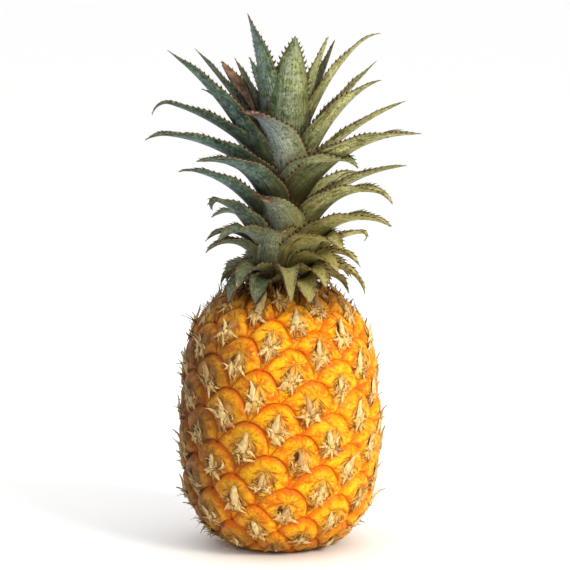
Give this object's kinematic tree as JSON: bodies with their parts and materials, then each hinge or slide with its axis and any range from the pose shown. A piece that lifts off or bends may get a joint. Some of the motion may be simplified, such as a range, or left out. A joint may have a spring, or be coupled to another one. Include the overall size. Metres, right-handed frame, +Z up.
{
  "type": "pineapple",
  "caption": "Ripe golden pineapple standing upright, with bulging diamond-shaped eyes on its rind and a crown of stiff toothed leaves.",
  "frame": {"origin": "middle of the flat spot that the fruit stands on, at the centre of the cut stem", "axes": "+Z up along the fruit towards the crown, -Y towards the viewer of the picture, +X to the viewer's right"},
  "size_m": [0.1378, 0.1125, 0.2778],
  "materials": {
    "rind": "ripe golden-orange rind, glossy on the eyes, with dry papery straw-coloured bracts",
    "leaf": "waxy blue-green to yellow-green leaf with red-brown spines along both edges",
    "cut_stem": "dry fibrous cut stem"
  },
  "bodies": {
    "root": {"fruit": "rind", "crown": "leaf", "stem_stub": "cut_stem"}
  },
  "joints": []
}
